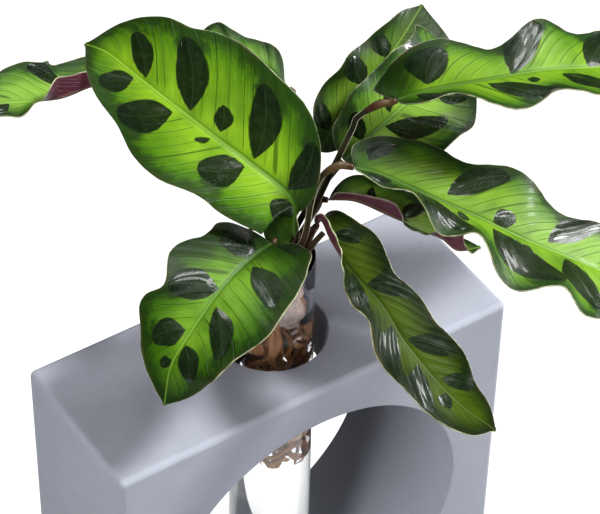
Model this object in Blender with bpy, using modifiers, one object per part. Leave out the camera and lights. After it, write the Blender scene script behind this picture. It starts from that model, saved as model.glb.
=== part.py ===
# A calathea rooted in water: the glass tube stands in the round window of a cast
# concrete holder and comes out through a hole in its top. Every number is in
# millimetres and degrees until it reaches a mesh; +Z is up, and the origin is at
# the middle of the holder's underside.

import math

import bmesh
import bpy
from mathutils import Matrix, Vector

MM = 0.001
SEAT_GAP = 0.3            # air left between pieces that touch

# holder
HOLDER_WIDTH = 158.0
HOLDER_DEPTH = 62.0
HOLDER_HEIGHT = 155.0
HOLDER_EDGE = 2.4         # radius of its rounded edges
WINDOW_RADIUS = 60.5
HOLE_RADIUS = 20.0        # at the top face
HOLE_TAPER = 0.12         # it narrows by this much for each millimetre down

# tube and water
TUBE_AXIS = Vector((2.0, 3.0, 0.0))
TUBE_RADIUS = 15.0
TUBE_WALL = 1.5
TUBE_ABOVE_HOLDER = 36.5
WATER_ABOVE_HOLDER = 14.0
WATER_GAP = 0.3

# roots and rhizome
ROOT_TOP = 171.0
ROOT_BOTTOM = 86.0
ROOT_MAT = [              # x, y and radius of the matted roots, at even steps down
    (6.6, 1.6, 5.0), (5.8, 1.9, 7.8), (3.4, 2.8, 9.8), (3.0, 3.0, 10.2), (3.2, 2.8, 9.6),
    (3.8, 2.2, 8.8), (4.4, 1.8, 8.4), (4.8, 1.5, 8.2), (5.0, 1.3, 8.0), (5.0, 1.2, 5.5)]
ROOT_STRANDS = 7          # ridges round the mat
ROOT_TURNS = 2.5          # ridges passed on the way down, as they wind
ROOT_RIDGE = 0.12
ROOT_RINGS = 24
RING_SIDES = 36
ROOT_CLEARANCE = 0.5      # the water's cavity stands this far off the roots
RHIZOME_HEIGHT = 6.4
RHIZOME_RADIUS = 7.2
RHIZOME_AXIS = Vector((7.6, 1.2, 0.0))

# leaves
BLADE_THICKNESS = 0.8
BLADE_STEPS = 20          # along the midrib
BLADE_STRIPS = 6          # across both halves
PETIOLE_RADIUS = 1.2
PETIOLE_TIP_RADIUS = 1.0
PETIOLE_STEPS = 16
PETIOLE_GAP = 0.5         # from its end to the blade
PETIOLE_LEAD_IN = 3.0     # its last stretch runs straight into the midrib
BUNDLE_SPACING = 3.15
BUNDLE_TURN = -34.0       # the bundle's rows lie across the way the plant leans
BUNDLE_LEAN = Vector((1.8, -0.6, 8.0))

window_centre_z = HOLDER_HEIGHT / 2
window_floor_z = window_centre_z - WINDOW_RADIUS
tube_bottom_z = window_floor_z + SEAT_GAP
tube_bend_z = tube_bottom_z + TUBE_RADIUS    # where its round bottom begins
tube_top_z = HOLDER_HEIGHT + TUBE_ABOVE_HOLDER
water_level_z = HOLDER_HEIGHT + WATER_ABOVE_HOLDER
rhizome_bottom_z = ROOT_TOP + SEAT_GAP
rhizome_top_z = rhizome_bottom_z + RHIZOME_HEIGHT
bundle_z = rhizome_top_z + 2 * SEAT_GAP    # the leaning petioles' lower edges dip

# Each leaf: its place in the bundle (column, row), the points its petiole passes
# between the bundle and the blade, the points its midrib passes from the blade's
# base to its tip, the half widths on the left and right, how far the blade is
# rolled about its midrib, and how far each half is folded up. The widths, rolls
# and folds are read at even steps from base to tip.
LEAVES = {
    "left_large": dict(
        slot=(-1.0, -1.0),
        petiole=[],
        midrib=[(10, 2, 196), (11, 5, 211), (2, 16, 223), (-6, 27, 231), (-17, 51, 241),
                (-21, 69, 243), (-23, 82, 239)],
        left=(14, 18, 20, 20, 23, 22, 17, 14, 9),
        right=(2.5, 3, 12, 20, 24.5, 26.5, 27.5, 28.5, 29.5, 30, 30, 29, 27, 24, 22.8, 21, 17.5,
               13, 8),
        roll=(-40, 15, 34, 37, 38, 37.4, 36, 34.6, 34, 31.8, 27, 22.2, 20),
        fold_left=(5, 6, 4, 0),
        fold_right=(40, 15, 6, 4)),
    "left_low": dict(
        slot=(-1.5, 0.0),
        petiole=[],
        midrib=[(2, 3, 196), (-8, -2, 200), (-26, -10, 201), (-45, -19, 196), (-54, -23, 190),
                (-59, -27, 179)],
        left=(13, 18, 20, 22, 23, 24, 24.5, 25, 25.5, 26, 26, 24.5, 22, 19.5, 18.3, 17, 14.5,
              11.5, 7),
        right=(11.5, 15, 17, 16.8, 17.5, 20, 21.5, 21.5, 19.5, 17, 16.3, 19.5, 20, 18, 15.5,
               12.8, 9, 5.5, 3),
        roll=(0, 5, 0, -5),
        fold_left=(15, 10, 5),
        fold_right=(15, 10, 5)),
    "front_narrow": dict(
        slot=(1.0, -1.0),
        petiole=[(12.5, -1.7, 192.3), (15.5, 0, 196)],
        midrib=[(19, 1, 198), (18.5, -2.5, 202.5), (14.3, -14.5, 205), (13, -28, 203.5),
                (14, -45, 201), (14, -60, 195), (20, -78, 183), (31, -88, 170)],
        left=(6.5, 9.5, 12, 14, 14.5, 13.5, 12, 10.5, 12, 13, 13, 13, 13.5, 14, 14, 13, 12,
              10.5, 7.5),
        right=(4.5, 4.5, 8, 10, 8, 12, 11, 12, 9),
        roll=(-10, -5, -10, -15),
        fold_left=(10, 5, 0, 0, 0),
        fold_right=(60, 100, 106, 102, 82, 58, 30, 14, 10, 10, 10, 10, 10, 10, 10, 10, 10)),
    "right_low": dict(
        slot=(0.0, -1.0),
        petiole=[(9.3, -1.6, 191.9), (13, -1, 199), (17, 2, 209), (22, 4, 216), (28, 3, 219)],
        midrib=[(33, 0, 218), (39, -8, 218), (47, -24, 217), (57, -39, 214), (67, -54, 210),
                (84, -72, 202), (104, -88, 187)],
        left=(13, 16.5, 19, 19.5, 18.3, 18, 20, 22, 21.8, 20.5, 18.7, 17.5, 18, 19, 18, 16,
              13.5, 10, 6),
        right=(4, 5, 5, 5.5, 9.5, 14.4, 13.5, 12, 16, 22.5, 25, 22.6, 21, 25.5, 22.5, 19, 15.5,
               11.5, 7),
        roll=(0, 0, 0),
        fold_left=(15, 10, 5),
        fold_right=(15, 10, 5)),
    "right_high": dict(
        slot=(0.5, 0.0),
        petiole=[(12.1, 0.9, 191.8), (15.4, 3, 196.5), (27, 8, 208), (39, 11, 224),
                 (41, 11, 228.5), (48, 9, 232.5)],
        midrib=[(54, 6, 234), (62, 0, 239), (80, -10, 243), (100, -17, 243), (121, -23, 239),
                (146, -25, 232)],
        left=(12, 15.5, 18.5, 20, 18.5, 16, 13.5, 13.5, 15.5, 19, 21.5, 21, 19, 18, 17.5, 17,
              14, 10, 6),
        right=(5.5, 7, 7, 8, 12.5, 17.5, 20, 18.5, 15.5, 13.5, 17, 21, 21, 18, 16, 14.5, 12, 9,
               5),
        roll=(0, 0, 0),
        fold_left=(15, 10, 5),
        fold_right=(15, 10, 5)),
    "back_upright": dict(
        slot=(0.0, 1.0),
        petiole=[(10.7, 7.4, 193), (19, 12, 198.5), (28, 19, 201)],
        midrib=[(37, 27, 203), (51, 32, 213), (74, 38, 223), (93, 47, 230)],
        left=(6, 10, 11, 10, 11, 10, 9, 7, 5),
        right=(8, 11, 13, 14, 15, 16, 17, 18, 15),
        roll=(-20, -25, -25),
        fold_left=(15, 10, 5),
        fold_right=(15, 10, 5)),
    "back_wide": dict(
        slot=(0.5, 2.0),
        petiole=[(13.1, 6.6, 191.5), (20, 8.8, 199), (31, 14, 202.5)],
        midrib=[(39, 15, 207), (48, 16, 211), (66, 17, 219), (90, 21, 228)],
        left=(8, 11, 12, 13, 14, 15, 15.3, 15.5, 15.8, 16, 16, 16, 16, 16, 15.5, 15, 15.2, 15.6,
              16),
        right=(14, 18, 20, 22, 22, 22, 22.5, 19, 13),
        roll=(-20, -25, -25),
        fold_left=(15, 10, 5),
        fold_right=(15, 10, 5)),
    "right_under": dict(
        slot=(1.0, 1.0),
        petiole=[(13.3, 3.7, 191.5), (18.3, 5.5, 196), (24, 9, 197.5)],
        midrib=[(29.5, 9.5, 197.5), (35.8, 3.1, 199), (42.6, -5.3, 196.5), (52.8, -15, 190.5),
                (56.6, -20, 189), (59.5, -25.5, 186.5), (67.3, -28, 186)],
        left=(9, 11, 12, 12, 12, 11, 10, 8, 6),
        right=(3, 3.2, 3.2, 3.4, 3.6, 4, 4.5, 4.5, 3, 1.5, 1.5, 1.5, 2, 3.5, 6.5, 7.5, 7.0, 3, 2),
        roll=(0, 0, 0),
        fold_left=(15, 10, 5),
        fold_right=(60, 100, 105, 105, 105, 105, 105, 90, 20, 5, 5, 60, 100, 105, 90, 10, 0)),
    "far_left": dict(
        slot=(-1.0, 1.0),
        petiole=[(7, 8, 192), (5, 14, 198)],
        midrib=[(4, 22, 202), (-1, 52, 211), (-9, 78, 215), (-17, 87, 214), (-31, 89, 213),
                (-48, 98, 212), (-64, 104, 211)],
        left=(8, 10, 10, 9, 8.5, 8, 9, 9, 6),
        right=(5, 8, 10, 12, 13, 14, 14.5, 15, 15, 14.5, 13.5, 13.5, 15, 17.5, 16.5, 17.5, 15.5,
               9, 5),
        roll=(0, 0, 0),
        fold_left=(20, 20, 30, 30, 30, 40, 50, 60, 60, 75, 98, 104, 40, 0, 0, 0, 0),
        fold_right=(10, 10, 10)),
    "back_left": dict(
        slot=(-0.75, 2.0),
        petiole=[(9.6, 10.8, 191.5), (15, 16, 198), (25, 31, 206)],
        midrib=[(37, 48, 216), (34, 59, 221), (27, 72, 223), (18, 81, 221)],
        left=(8, 10, 11, 12, 12, 11, 10, 9, 6),
        right=(2.5, 5.5, 7.5, 8, 8, 7, 7.5, 10, 8),
        roll=(0, 0, 0),
        fold_left=(15, 10, 5),
        fold_right=(15, 10, 5)),
}
CUT_STUB = dict(slot=(0.5, -2.0),
                route=[(10.8, -4.5, 192.3), (13.4, -4.9, 196.5), (17, -5.6, 200.5)])


# ---- scene, collections and materials

def clear_scene():
    for old in list(bpy.data.objects):
        bpy.data.objects.remove(old)


def new_collection(name):
    collection = bpy.data.collections.new(name)
    bpy.context.scene.collection.children.link(collection)
    return collection


def plain_material(name, colour, roughness, metallic=0.0, alpha=1.0):
    material = bpy.data.materials.new(name)
    material.use_nodes = True
    shader = material.node_tree.nodes["Principled BSDF"]
    shader.inputs["Base Color"].default_value = (*colour, 1.0)
    shader.inputs["Roughness"].default_value = roughness
    shader.inputs["Metallic"].default_value = metallic
    shader.inputs["Alpha"].default_value = alpha
    return material


def add_object(name, data, collection, material=None):
    piece = bpy.data.objects.new(name, data)
    collection.objects.link(piece)
    if material is not None:
        data.materials.append(material)
    return piece


def bmesh_to_mesh(bm, name):
    mesh = bpy.data.meshes.new(name)
    bm.to_mesh(mesh)
    bm.free()
    return mesh


# ---- smooth curves through a few points

def catmull_rom(values, position):
    """The value at a position counted in steps along the list of numbers or vectors."""
    last = len(values) - 1
    index = min(int(position), last - 1)
    step = position - index
    p1, p2 = values[index], values[index + 1]
    p0 = values[index - 1] if index > 0 else p1 * 2 - p2
    p3 = values[index + 2] if index + 2 <= last else p2 * 2 - p1
    return 0.5 * (p1 * 2 + (p2 - p0) * step
                  + (p0 * 2 - p1 * 5 + p2 * 4 - p3) * step ** 2
                  + (p1 * 3 - p0 - p2 * 3 + p3) * step ** 3)


def even_points(points, count, samples=120):
    """Points at even distances along the smooth curve through the given points."""
    points = [Vector(p) for p in points]
    fine = [catmull_rom(points, i * (len(points) - 1) / samples) for i in range(samples + 1)]
    reach = [0.0]
    for before, after in zip(fine, fine[1:]):
        reach.append(reach[-1] + (after - before).length)
    even = []
    index = 0
    for step in range(count + 1):
        target = reach[-1] * step / count
        while index < samples - 1 and reach[index + 1] < target:
            index += 1
        part = (target - reach[index]) / (reach[index + 1] - reach[index])
        even.append(fine[index].lerp(fine[index + 1], part))
    return even


def eased(values, t):
    """A value that goes smoothly from each entry of the list to the next."""
    place = t * (len(values) - 1)
    index = min(int(place), len(values) - 2)
    step = place - index
    step = step * step * (3 - 2 * step)
    return values[index] * (1 - step) + values[index + 1] * step


def half_width(widths, t):
    """Round at the base and pointed at the tip, through the listed half widths."""
    listed = [0.0, *map(float, widths), 0.0]
    place = t * (len(listed) - 1)
    rounded = math.sqrt(max(catmull_rom([w * w for w in listed], place), 0.0))
    pointed = max(catmull_rom(listed, place), 0.0)
    return max(rounded * (1 - t) + pointed * t, 0.7)


# ---- curve tubes

def tube_curve(name, points, radii, collection, material):
    """A round bar along the points, in millimetres, with a radius at each point."""
    curve = bpy.data.curves.new(name, "CURVE")
    curve.dimensions = "3D"
    curve.bevel_depth = MM
    curve.bevel_resolution = 2
    curve.use_fill_caps = True
    spline = curve.splines.new("POLY")
    spline.points.add(len(points) - 1)
    for knot, point, radius in zip(spline.points, points, radii):
        knot.co = (*(Vector(point) * MM), 1.0)
        knot.radius = radius
    return add_object(name, curve, collection, material)


def cut_away(piece, cutter):
    cut = piece.modifiers.new(cutter.name, "BOOLEAN")
    cut.operation = "DIFFERENCE"
    cut.object = cutter
    cut.solver = "EXACT"


def make_cutter(piece):
    piece.hide_render = True
    piece.display_type = "WIRE"


# ---- turned pieces

def turned(name, profile, collection, material, steps=48):
    """A Screw of an (x, z) profile about the tube's axis."""
    mesh = bpy.data.meshes.new(name)
    points = [(x * MM, 0.0, z * MM) for x, z in profile]
    edges = [(i, i + 1) for i in range(len(points) - 1)]
    mesh.from_pydata(points, edges, [])
    piece = add_object(name, mesh, collection, material)
    piece.location = TUBE_AXIS * MM
    screw = piece.modifiers.new("Screw", "SCREW")
    screw.steps = steps
    screw.render_steps = steps
    screw.use_merge_vertices = True
    screw.merge_threshold = 0.00001
    screw.use_smooth_shade = True
    return piece


def round_end(radius, centre_z, steps=8):
    """Quarter circle from the side of a round bottom down to its lowest point."""
    angles = [math.radians(90 * i / steps) for i in range(steps + 1)]
    arc = [(radius * math.cos(a), centre_z - radius * math.sin(a)) for a in angles]
    arc[-1] = (0.0, centre_z - radius)
    return arc


def make_tube(collection, material):
    inner = TUBE_RADIUS - TUBE_WALL
    inside = list(reversed(round_end(inner, tube_bend_z)))
    rim = [(inner, tube_top_z - 0.6), (inner + 0.3, tube_top_z),
           (TUBE_RADIUS - 0.3, tube_top_z), (TUBE_RADIUS, tube_top_z - 0.6)]
    return turned("glass_tube", inside + rim + round_end(TUBE_RADIUS, tube_bend_z),
                  collection, material)


# ---- holder

def round_cutter(name, radius, length, place, turn, collection, segments, taper=0.0):
    """A cutter of this radius half way along it, wider by the taper towards its top."""
    spread = taper * length / 2
    bm = bmesh.new()
    bmesh.ops.create_cone(bm, cap_ends=True, segments=segments, radius1=(radius - spread) * MM,
                          radius2=(radius + spread) * MM, depth=length * MM)
    cutter = add_object(name, bmesh_to_mesh(bm, name), collection)
    cutter.location = Vector(place) * MM
    cutter.rotation_euler = turn
    make_cutter(cutter)
    return cutter


def make_holder(collection, cutters, material):
    size = (HOLDER_WIDTH * MM, HOLDER_DEPTH * MM, HOLDER_HEIGHT * MM)
    bm = bmesh.new()
    bmesh.ops.create_cube(bm, size=1.0, matrix=Matrix.Diagonal((*size, 1.0)))
    holder = add_object("concrete_holder", bmesh_to_mesh(bm, "concrete_holder"),
                        collection, material)
    holder.location.z = HOLDER_HEIGHT / 2 * MM
    rounding = holder.modifiers.new("Rounded edges", "BEVEL")
    rounding.width = HOLDER_EDGE * MM
    rounding.segments = 4
    window = round_cutter("window_cutter", WINDOW_RADIUS, HOLDER_DEPTH * 2,
                          (0, 0, window_centre_z), (math.pi / 2, 0, 0), cutters, 96)
    top_wall = HOLDER_HEIGHT - window_centre_z
    hole = round_cutter("hole_cutter", HOLE_RADIUS, top_wall,
                        TUBE_AXIS + Vector((0, 0, HOLDER_HEIGHT)), (0, 0, 0), cutters, 64,
                        HOLE_TAPER)
    cut_away(holder, window)
    cut_away(holder, hole)
    return holder


# ---- roots and the water round them

def level_ring(centre, reach_at):
    """Points of a level ring about a centre, as far out as reach_at gives for each angle."""
    points = []
    for i in range(RING_SIDES):
        angle = 2 * math.pi * i / RING_SIDES
        outward = Vector((math.cos(angle), math.sin(angle), 0))
        points.append(centre + outward * reach_at(angle))
    return points


def tube_ring(radius, z):
    return level_ring(TUBE_AXIS + Vector((0, 0, z)), lambda angle: radius)


def root_ring(t, extra):
    """A ring of the matted roots, grown by extra; t runs from their top to their lower end."""
    place = t * (len(ROOT_MAT) - 1)
    x, y, radius = (catmull_rom([row[i] for row in ROOT_MAT], place) for i in range(3))
    z = ROOT_TOP + (ROOT_BOTTOM - ROOT_TOP) * t

    def reach_at(angle):
        ridge = math.cos(ROOT_STRANDS * angle + 2 * math.pi * ROOT_TURNS * t)
        return radius * (1 + ROOT_RIDGE * math.sin(math.pi * t) * ridge) + extra

    return level_ring(Vector((x, y, z)), reach_at)


def loft(name, rings, collection, material):
    """Joins the rings in turn and closes both ends."""
    bm = bmesh.new()
    last = len(rings) - 1
    bmesh.ops.create_grid(bm, x_segments=RING_SIDES, y_segments=last, size=1.0)
    for vertex in bm.verts:
        side = round((vertex.co.x + 1) / 2 * RING_SIDES) % RING_SIDES
        ring = round((vertex.co.y + 1) / 2 * last)
        vertex.co = rings[ring][side] * MM
    bmesh.ops.remove_doubles(bm, verts=bm.verts, dist=1e-6)
    bmesh.ops.holes_fill(bm, edges=bm.edges)
    bmesh.ops.recalc_face_normals(bm, faces=bm.faces)
    return add_object(name, bmesh_to_mesh(bm, name), collection, material)


def make_roots(collection, material):
    rings = [root_ring(i / ROOT_RINGS, 0.0) for i in range(ROOT_RINGS + 1)]
    return loft("root_ball", rings, collection, material)


def make_water(collection, material):
    """Up the inside of the tube, across the surface and down round the roots."""
    radius = TUBE_RADIUS - TUBE_WALL - WATER_GAP
    rings = [tube_ring(*place) for place in reversed(round_end(radius, tube_bend_z))]
    rings.append(tube_ring(radius, water_level_z))
    surface = (ROOT_TOP - water_level_z) / (ROOT_TOP - ROOT_BOTTOM)
    for i in range(ROOT_RINGS + 1):
        rings.append(root_ring(surface + (1 - surface) * i / ROOT_RINGS, ROOT_CLEARANCE))
    below = Vector((0, 0, -ROOT_CLEARANCE))
    rings[-1] = [point + below for point in rings[-1]]
    return loft("water", rings, collection, material)


def make_rhizome(collection, material):
    bm = bmesh.new()
    bmesh.ops.create_cone(bm, cap_ends=True, segments=24, radius1=(RHIZOME_RADIUS - 1.8) * MM,
                          radius2=RHIZOME_RADIUS * MM, depth=RHIZOME_HEIGHT * MM)
    rhizome = add_object("rhizome", bmesh_to_mesh(bm, "rhizome"), collection, material)
    middle_z = (rhizome_bottom_z + rhizome_top_z) / 2
    rhizome.location = (RHIZOME_AXIS + Vector((0, 0, middle_z))) * MM
    return rhizome


# ---- leaves

def bundle_place(slot):
    """Where a petiole stands on the rhizome: rows of a hexagonal bundle."""
    column, row = slot
    turn = Matrix.Rotation(math.radians(BUNDLE_TURN), 3, "Z")
    offset = Vector((column, row * math.sin(math.radians(60)), 0)) * BUNDLE_SPACING
    return RHIZOME_AXIS + turn @ offset + Vector((0, 0, bundle_z))


def make_petiole(name, slot, route, collection, material):
    foot = bundle_place(slot)
    points = even_points([foot, foot + BUNDLE_LEAN, *route], PETIOLE_STEPS)
    radii = [PETIOLE_RADIUS + (PETIOLE_TIP_RADIUS - PETIOLE_RADIUS) * i / PETIOLE_STEPS
             for i in range(PETIOLE_STEPS + 1)]
    return tube_curve(name, points, radii, collection, material)


def blade_point(leaf, spine, t, across):
    """A point of the blade: t runs from base to tip, across from -1 (left) to 1 (right)."""
    steps = len(spine) - 1
    here = catmull_rom(spine, t * steps)
    ahead = catmull_rom(spine, min(t + 0.01, 1.0) * steps)
    behind = catmull_rom(spine, max(t - 0.01, 0.0) * steps)
    along = (ahead - behind).normalized()
    side = along.cross(Vector((0, 0, 1))).normalized()
    side = Matrix.Rotation(-math.radians(eased(leaf["roll"], t)), 3, along) @ side
    face = side.cross(along)
    hand = "left" if across < 0 else "right"
    fold = math.radians(eased(leaf["fold_" + hand], t))
    reach = half_width(leaf[hand], t) * abs(across)
    outward = side * math.copysign(reach * math.cos(fold), across)
    return here + outward + face * (reach * math.sin(fold))


def make_blade(name, leaf, collection, material):
    spine = even_points(leaf["midrib"], 60)
    bm = bmesh.new()
    bmesh.ops.create_grid(bm, x_segments=BLADE_STEPS, y_segments=BLADE_STRIPS, size=1.0)
    for vertex in bm.verts:
        t = (vertex.co.x + 1) / 2
        vertex.co = blade_point(leaf, spine, t, vertex.co.y) * MM
    bmesh.ops.recalc_face_normals(bm, faces=bm.faces)
    blade = add_object(name, bmesh_to_mesh(bm, name), collection, material)
    thickness = blade.modifiers.new("Thickness", "SOLIDIFY")
    thickness.thickness = BLADE_THICKNESS * MM
    thickness.offset = 0.0
    blade.data.shade_smooth()
    return blade


def make_leaf(name, leaf, collection, green, stem_green):
    base = Vector(leaf["midrib"][0])
    along = (even_points(leaf["midrib"], 60)[1] - base).normalized()
    ending = [base - along * PETIOLE_LEAD_IN, base - along * PETIOLE_GAP]
    make_petiole("petiole_" + name, leaf["slot"], [*leaf["petiole"], *ending],
                 collection, stem_green)
    make_blade("blade_" + name, leaf, collection, green)


def build():
    clear_scene()
    parts = new_collection("calathea_in_glass_tube")
    cutters = new_collection("cutters")
    concrete = plain_material("concrete", (0.36, 0.38, 0.42), 0.85)
    glass = plain_material("clear_glass", (0.9, 0.94, 0.94), 0.03, alpha=0.35)
    water = plain_material("clear_water", (0.85, 0.92, 0.92), 0.02, alpha=0.35)
    root_brown = plain_material("root_brown", (0.22, 0.11, 0.05), 0.6)
    stem_green = plain_material("stem_green", (0.10, 0.13, 0.04), 0.5)
    leaf_green = plain_material("leaf_green", (0.14, 0.36, 0.03), 0.35)

    make_holder(parts, cutters, concrete)
    make_tube(parts, glass)
    make_water(parts, water)
    make_roots(parts, root_brown)
    make_rhizome(parts, root_brown)
    make_petiole("petiole_cut_stub", CUT_STUB["slot"], CUT_STUB["route"], parts, stem_green)
    for name, leaf in LEAVES.items():
        make_leaf(name, leaf, parts, leaf_green, stem_green)


build()
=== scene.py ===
import random
from math import cos, exp, hypot, pi, radians, sin, sqrt, tau

import bmesh
import bpy
from mathutils import Matrix, Vector


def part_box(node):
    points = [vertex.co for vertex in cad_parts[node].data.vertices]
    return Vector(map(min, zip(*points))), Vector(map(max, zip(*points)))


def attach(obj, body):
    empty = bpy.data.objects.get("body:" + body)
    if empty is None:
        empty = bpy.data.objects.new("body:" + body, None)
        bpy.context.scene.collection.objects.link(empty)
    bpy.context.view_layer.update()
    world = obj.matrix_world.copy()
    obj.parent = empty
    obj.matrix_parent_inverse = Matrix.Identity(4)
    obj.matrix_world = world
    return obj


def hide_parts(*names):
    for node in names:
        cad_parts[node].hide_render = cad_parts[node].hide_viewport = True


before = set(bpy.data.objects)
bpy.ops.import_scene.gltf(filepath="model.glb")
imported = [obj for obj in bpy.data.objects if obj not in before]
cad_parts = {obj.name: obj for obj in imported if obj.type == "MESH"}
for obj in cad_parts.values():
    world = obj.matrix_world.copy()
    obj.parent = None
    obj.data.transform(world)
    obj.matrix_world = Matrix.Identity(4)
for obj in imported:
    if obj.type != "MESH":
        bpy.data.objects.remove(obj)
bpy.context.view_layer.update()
scene = bpy.context.scene
mm = 0.001     # lengths below are in millimetres
up = Vector((0, 0, 1))


# shader maths: a reading is a socket that can be added and scaled
class Reading:
    def __init__(self, finish, socket):
        self.finish = finish
        self.socket = socket

    def maths(self, operation, *others):
        values = dict(enumerate((self, *others)))
        return self.finish.node("ShaderNodeMath", dict(operation=operation), values)

    def __add__(self, other):
        return self.maths("ADD", other)

    def __sub__(self, other):
        return self.maths("SUBTRACT", other)

    def __mul__(self, other):
        return self.maths("MULTIPLY", other)

    def __truediv__(self, other):
        return self.maths("DIVIDE", other)

    def __rsub__(self, other):
        return self.finish.node("ShaderNodeMath", dict(operation="SUBTRACT"), {0: other, 1: self})

    def __abs__(self):
        return self.maths("ABSOLUTE")

    __radd__ = __add__
    __rmul__ = __mul__

    def rise(self, low, high):         # 0 at low, 1 at high, eased between them
        settings = dict(interpolation_type="SMOOTHSTEP")
        return self.finish.node("ShaderNodeMapRange", settings, {0: self, 1: low, 2: high})


class Finish:
    def __init__(self, name, **constants):
        self.material = bpy.data.materials.new(name)
        self.material.use_nodes = True
        self.tree = self.material.node_tree
        self.shader = self.tree.nodes["Principled BSDF"]
        self.paint(**constants)

    def feed(self, socket, value):
        if isinstance(value, Reading):
            self.tree.links.new(value.socket, socket)
        elif socket.type == "RGBA" and len(value) == 3:
            socket.default_value = (*value, 1.0)
        else:
            socket.default_value = value

    def node(self, kind, settings=None, sockets=None, output=0):
        made = self.tree.nodes.new(kind)
        for label, value in (settings or {}).items():
            if label == "stops":
                for stop in range(len(value) - 2):
                    made.color_ramp.elements.new(0.5)
                for element, (position, colour) in zip(made.color_ramp.elements, value):
                    element.position = position
                    element.color = (*colour, 1.0)
            else:
                setattr(made, label, value)
        for label, value in (sockets or {}).items():
            self.feed(made.inputs[label], value)
        return Reading(self, made.outputs[output])

    def attribute(self, name):
        return self.node("ShaderNodeAttribute", dict(attribute_name=name), output=1)

    def number(self, name):
        return self.node("ShaderNodeAttribute", dict(attribute_name=name), output=2)

    def parts(self, vector):
        split = self.node("ShaderNodeSeparateXYZ", sockets={0: vector}).socket.node
        return [Reading(self, socket) for socket in split.outputs]

    def joined(self, x, y, z):
        return self.node("ShaderNodeCombineXYZ", sockets={0: x, 1: y, 2: z})

    def objectPlace(self):
        return self.node("ShaderNodeTexCoord", output=3)

    def noise(self, place, scale, detail=2.0, roughness=0.5):
        values = {"Vector": place, "Scale": scale, "Detail": detail, "Roughness": roughness}
        return self.node("ShaderNodeTexNoise", None, values)

    def cells(self, place, scale):
        return self.node("ShaderNodeTexVoronoi", None, {"Vector": place, "Scale": scale})

    def blend(self, share, first, second):
        values = {0: share, 6: first, 7: second}
        return self.node("ShaderNodeMix", dict(data_type="RGBA"), values, output=2)

    def layered(self, colour, *coats):     # each coat is a (share, colour) over what lies below it
        for share, tone in coats:
            colour = self.blend(share, colour, tone)
        return colour

    def bump(self, height, distance, strength):
        values = {"Height": height, "Distance": distance, "Strength": strength}
        return self.node("ShaderNodeBump", None, values)

    def paint(self, **inputs):
        for label, value in inputs.items():
            self.feed(self.shader.inputs[label.replace("_", " ")], value)
        return self.material


# meshes
def addPiece(name, bm, materials, node=None, smooth=True):
    mesh = bpy.data.meshes.new(name)
    bm.to_mesh(mesh)
    bm.free()
    if smooth:
        mesh.shade_smooth()
    for material in materials:
        mesh.materials.append(material)
    piece = bpy.data.objects.new(name, mesh)
    scene.collection.objects.link(piece)
    if node:
        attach(piece, "root")
        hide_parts(node)
    return piece


def rolledGrid(rings, marks=None):     # a grid rolled into a bar, one row for each ring
    sides, last = len(rings[0]), len(rings) - 1
    bm = bmesh.new()
    bmesh.ops.create_grid(bm, x_segments=sides, y_segments=last, size=1.0)
    layers = {name: bm.verts.layers.float.new(name) for name in (marks or {})}
    for vertex in bm.verts:
        side = round((vertex.co.x + 1) / 2 * sides) % sides
        ring = round((vertex.co.y + 1) / 2 * last)
        for name, layer in layers.items():
            vertex[layer] = marks[name][ring][side]
        vertex.co = rings[ring][side] * mm
    bmesh.ops.remove_doubles(bm, verts=bm.verts, dist=1e-7)
    bmesh.ops.holes_fill(bm, edges=bm.edges)
    bmesh.ops.recalc_face_normals(bm, faces=bm.faces)
    return bm


def joinInto(whole, part):             # adds one bmesh to another
    holding = bpy.data.meshes.new("holding")
    part.to_mesh(holding)
    part.free()
    whole.from_mesh(holding)
    bpy.data.meshes.remove(holding)


# smooth curves through a few points
def curveThrough(values, place):
    last = len(values) - 1
    index = min(int(place), last - 1)
    step = place - index
    p1, p2 = values[index], values[index + 1]
    p0 = values[index - 1] if index > 0 else p1 * 2 - p2
    p3 = values[index + 2] if index + 2 <= last else p2 * 2 - p1
    return 0.5 * (p1 * 2 + (p2 - p0) * step
                  + (p0 * 2 - p1 * 5 + p2 * 4 - p3) * step ** 2
                  + (p1 * 3 - p0 - p2 * 3 + p3) * step ** 3)


def evenPoints(points, count, samples=160):
    points = [Vector(p) for p in points]
    fine = [curveThrough(points, i * (len(points) - 1) / samples) for i in range(samples + 1)]
    reach = [0.0]
    for before, after in zip(fine, fine[1:]):
        reach.append(reach[-1] + (after - before).length)
    even, index = [], 0
    for step in range(count + 1):
        target = reach[-1] * step / count
        while index < samples - 1 and reach[index + 1] < target:
            index += 1
        part = (target - reach[index]) / (reach[index + 1] - reach[index])
        even.append(fine[index].lerp(fine[index + 1], part))
    return even


def pathLength(points):
    return sum((after - before).length for before, after in zip(points, points[1:]))


def eased(values, t):
    place = t * (len(values) - 1)
    index = min(int(place), len(values) - 2)
    step = rise(0.0, 1.0, place - index)
    return values[index] * (1 - step) + values[index + 1] * step


def rise(low, high, value):
    share = min(max((value - low) / (high - low), 0.0), 1.0)
    return share * share * (3 - 2 * share)


def hump(distance, reach):
    return exp(-(distance / reach) ** 2)


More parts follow.
